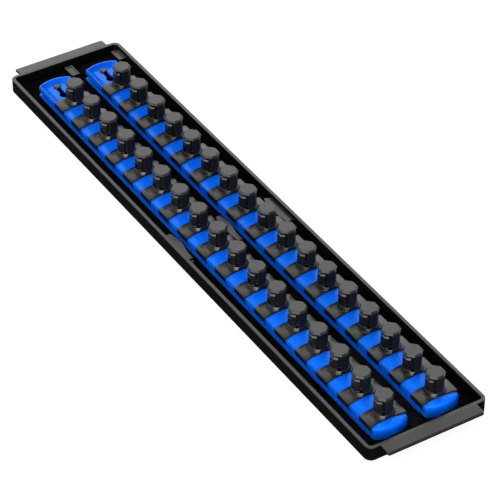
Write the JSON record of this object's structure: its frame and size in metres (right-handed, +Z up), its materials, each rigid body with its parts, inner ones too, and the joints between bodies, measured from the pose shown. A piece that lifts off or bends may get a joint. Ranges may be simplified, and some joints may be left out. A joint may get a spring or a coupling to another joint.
{
  "type": "socket organizer drawer box",
  "caption": "Shallow drawer tray holding two sliding blue socket rails, each carrying a row of movable black half-inch-drive socket posts.",
  "frame": {"origin": "middle of the tray's underside", "axes": "+Z up out of the tray, +Y along the tray towards the rails' keyhole ends, +X across it to the right"},
  "size_m": [0.089, 0.482, 0.0279],
  "materials": {
    "tray_plastic": "fine grain",
    "rail_plastic": "satin",
    "clip_plastic": "satin"
  },
  "bodies": {
    "tray": {"tray": "tray_plastic"},
    "left_rail": {"left_rail": "rail_plastic"},
    "right_rail": {"right_rail": "rail_plastic"},
    "left_clip_01": {"left_clip_01": "clip_plastic"},
    "left_clip_02": {"left_clip_02": "clip_plastic"},
    "left_clip_03": {"left_clip_03": "clip_plastic"},
    "left_clip_04": {"left_clip_04": "clip_plastic"},
    "left_clip_05": {"left_clip_05": "clip_plastic"},
    "left_clip_06": {"left_clip_06": "clip_plastic"},
    "left_clip_07": {"left_clip_07": "clip_plastic"},
    "left_clip_08": {"left_clip_08": "clip_plastic"},
    "left_clip_09": {"left_clip_09": "clip_plastic"},
    "left_clip_10": {"left_clip_10": "clip_plastic"},
    "left_clip_11": {"left_clip_11": "clip_plastic"},
    "left_clip_12": {"left_clip_12": "clip_plastic"},
    "left_clip_13": {"left_clip_13": "clip_plastic"},
    "left_clip_14": {"left_clip_14": "clip_plastic"},
    "left_clip_15": {"left_clip_15": "clip_plastic"},
    "left_clip_16": {"left_clip_16": "clip_plastic"},
    "left_clip_17": {"left_clip_17": "clip_plastic"},
    "right_clip_01": {"right_clip_01": "clip_plastic"},
    "right_clip_02": {"right_clip_02": "clip_plastic"},
    "right_clip_03": {"right_clip_03": "clip_plastic"},
    "right_clip_04": {"right_clip_04": "clip_plastic"},
    "right_clip_05": {"right_clip_05": "clip_plastic"},
    "right_clip_06": {"right_clip_06": "clip_plastic"},
    "right_clip_07": {"right_clip_07": "clip_plastic"},
    "right_clip_08": {"right_clip_08": "clip_plastic"},
    "right_clip_09": {"right_clip_09": "clip_plastic"},
    "right_clip_10": {"right_clip_10": "clip_plastic"},
    "right_clip_11": {"right_clip_11": "clip_plastic"},
    "right_clip_12": {"right_clip_12": "clip_plastic"},
    "right_clip_13": {"right_clip_13": "clip_plastic"},
    "right_clip_14": {"right_clip_14": "clip_plastic"},
    "right_clip_15": {"right_clip_15": "clip_plastic"},
    "right_clip_16": {"right_clip_16": "clip_plastic"},
    "right_clip_17": {"right_clip_17": "clip_plastic"}
  },
  "joints": [
    {"name": "left_rail_slide", "type": "slide", "parent": "tray", "child": "left_rail", "axis": [0, 1, 0], "range_m": [0, 0.011]},
    {"name": "right_rail_slide", "type": "slide", "parent": "tray", "child": "right_rail", "axis": [0, 1, 0], "range_m": [0, 0.011]},
    {"name": "left_clip_01_slide", "type": "slide", "parent": "left_rail", "child": "left_clip_01", "axis": [0, 1, 0], "range_m": [-0.0007, 0.0115]},
    {"name": "left_clip_02_slide", "type": "slide", "parent": "left_rail", "child": "left_clip_02", "axis": [0, 1, 0], "range_m": [-0.0115, 0.0115]},
    {"name": "left_clip_03_slide", "type": "slide", "parent": "left_rail", "child": "left_clip_03", "axis": [0, 1, 0], "range_m": [-0.0115, 0.0115]},
    {"name": "left_clip_04_slide", "type": "slide", "parent": "left_rail", "child": "left_clip_04", "axis": [0, 1, 0], "range_m": [-0.0115, 0.0115]},
    {"name": "left_clip_05_slide", "type": "slide", "parent": "left_rail", "child": "left_clip_05", "axis": [0, 1, 0], "range_m": [-0.0115, 0.0115]},
    {"name": "left_clip_06_slide", "type": "slide", "parent": "left_rail", "child": "left_clip_06", "axis": [0, 1, 0], "range_m": [-0.0115, 0.0115]},
    {"name": "left_clip_07_slide", "type": "slide", "parent": "left_rail", "child": "left_clip_07", "axis": [0, 1, 0], "range_m": [-0.0115, 0.0115]},
    {"name": "left_clip_08_slide", "type": "slide", "parent": "left_rail", "child": "left_clip_08", "axis": [0, 1, 0], "range_m": [-0.0115, 0.0115]},
    {"name": "left_clip_09_slide", "type": "slide", "parent": "left_rail", "child": "left_clip_09", "axis": [0, 1, 0], "range_m": [-0.0115, 0.0115]},
    {"name": "left_clip_10_slide", "type": "slide", "parent": "left_rail", "child": "left_clip_10", "axis": [0, 1, 0], "range_m": [-0.0115, 0.0115]},
    {"name": "left_clip_11_slide", "type": "slide", "parent": "left_rail", "child": "left_clip_11", "axis": [0, 1, 0], "range_m": [-0.0115, 0.0115]},
    {"name": "left_clip_12_slide", "type": "slide", "parent": "left_rail", "child": "left_clip_12", "axis": [0, 1, 0], "range_m": [-0.0115, 0.0115]},
    {"name": "left_clip_13_slide", "type": "slide", "parent": "left_rail", "child": "left_clip_13", "axis": [0, 1, 0], "range_m": [-0.0115, 0.0115]},
    {"name": "left_clip_14_slide", "type": "slide", "parent": "left_rail", "child": "left_clip_14", "axis": [0, 1, 0], "range_m": [-0.0115, 0.0115]},
    {"name": "left_clip_15_slide", "type": "slide", "parent": "left_rail", "child": "left_clip_15", "axis": [0, 1, 0], "range_m": [-0.0115, 0.0115]},
    {"name": "left_clip_16_slide", "type": "slide", "parent": "left_rail", "child": "left_clip_16", "axis": [0, 1, 0], "range_m": [-0.0115, 0.0115]},
    {"name": "left_clip_17_slide", "type": "slide", "parent": "left_rail", "child": "left_clip_17", "axis": [0, 1, 0], "range_m": [-0.0115, 0.018]},
    {"name": "right_clip_01_slide", "type": "slide", "parent": "right_rail", "child": "right_clip_01", "axis": [0, 1, 0], "range_m": [-0.0007, 0.0115]},
    {"name": "right_clip_02_slide", "type": "slide", "parent": "right_rail", "child": "right_clip_02", "axis": [0, 1, 0], "range_m": [-0.0115, 0.0115]},
    {"name": "right_clip_03_slide", "type": "slide", "parent": "right_rail", "child": "right_clip_03", "axis": [0, 1, 0], "range_m": [-0.0115, 0.0115]},
    {"name": "right_clip_04_slide", "type": "slide", "parent": "right_rail", "child": "right_clip_04", "axis": [0, 1, 0], "range_m": [-0.0115, 0.0115]},
    {"name": "right_clip_05_slide", "type": "slide", "parent": "right_rail", "child": "right_clip_05", "axis": [0, 1, 0], "range_m": [-0.0115, 0.0115]},
    {"name": "right_clip_06_slide", "type": "slide", "parent": "right_rail", "child": "right_clip_06", "axis": [0, 1, 0], "range_m": [-0.0115, 0.0115]},
    {"name": "right_clip_07_slide", "type": "slide", "parent": "right_rail", "child": "right_clip_07", "axis": [0, 1, 0], "range_m": [-0.0115, 0.0115]},
    {"name": "right_clip_08_slide", "type": "slide", "parent": "right_rail", "child": "right_clip_08", "axis": [0, 1, 0], "range_m": [-0.0115, 0.0115]},
    {"name": "right_clip_09_slide", "type": "slide", "parent": "right_rail", "child": "right_clip_09", "axis": [0, 1, 0], "range_m": [-0.0115, 0.0115]},
    {"name": "right_clip_10_slide", "type": "slide", "parent": "right_rail", "child": "right_clip_10", "axis": [0, 1, 0], "range_m": [-0.0115, 0.0115]},
    {"name": "right_clip_11_slide", "type": "slide", "parent": "right_rail", "child": "right_clip_11", "axis": [0, 1, 0], "range_m": [-0.0115, 0.0115]},
    {"name": "right_clip_12_slide", "type": "slide", "parent": "right_rail", "child": "right_clip_12", "axis": [0, 1, 0], "range_m": [-0.0115, 0.0115]},
    {"name": "right_clip_13_slide", "type": "slide", "parent": "right_rail", "child": "right_clip_13", "axis": [0, 1, 0], "range_m": [-0.0115, 0.0115]},
    {"name": "right_clip_14_slide", "type": "slide", "parent": "right_rail", "child": "right_clip_14", "axis": [0, 1, 0], "range_m": [-0.0115, 0.0115]},
    {"name": "right_clip_15_slide", "type": "slide", "parent": "right_rail", "child": "right_clip_15", "axis": [0, 1, 0], "range_m": [-0.0115, 0.0115]},
    {"name": "right_clip_16_slide", "type": "slide", "parent": "right_rail", "child": "right_clip_16", "axis": [0, 1, 0], "range_m": [-0.0115, 0.0115]},
    {"name": "right_clip_17_slide", "type": "slide", "parent": "right_rail", "child": "right_clip_17", "axis": [0, 1, 0], "range_m": [-0.0115, 0.018]}
  ]
}
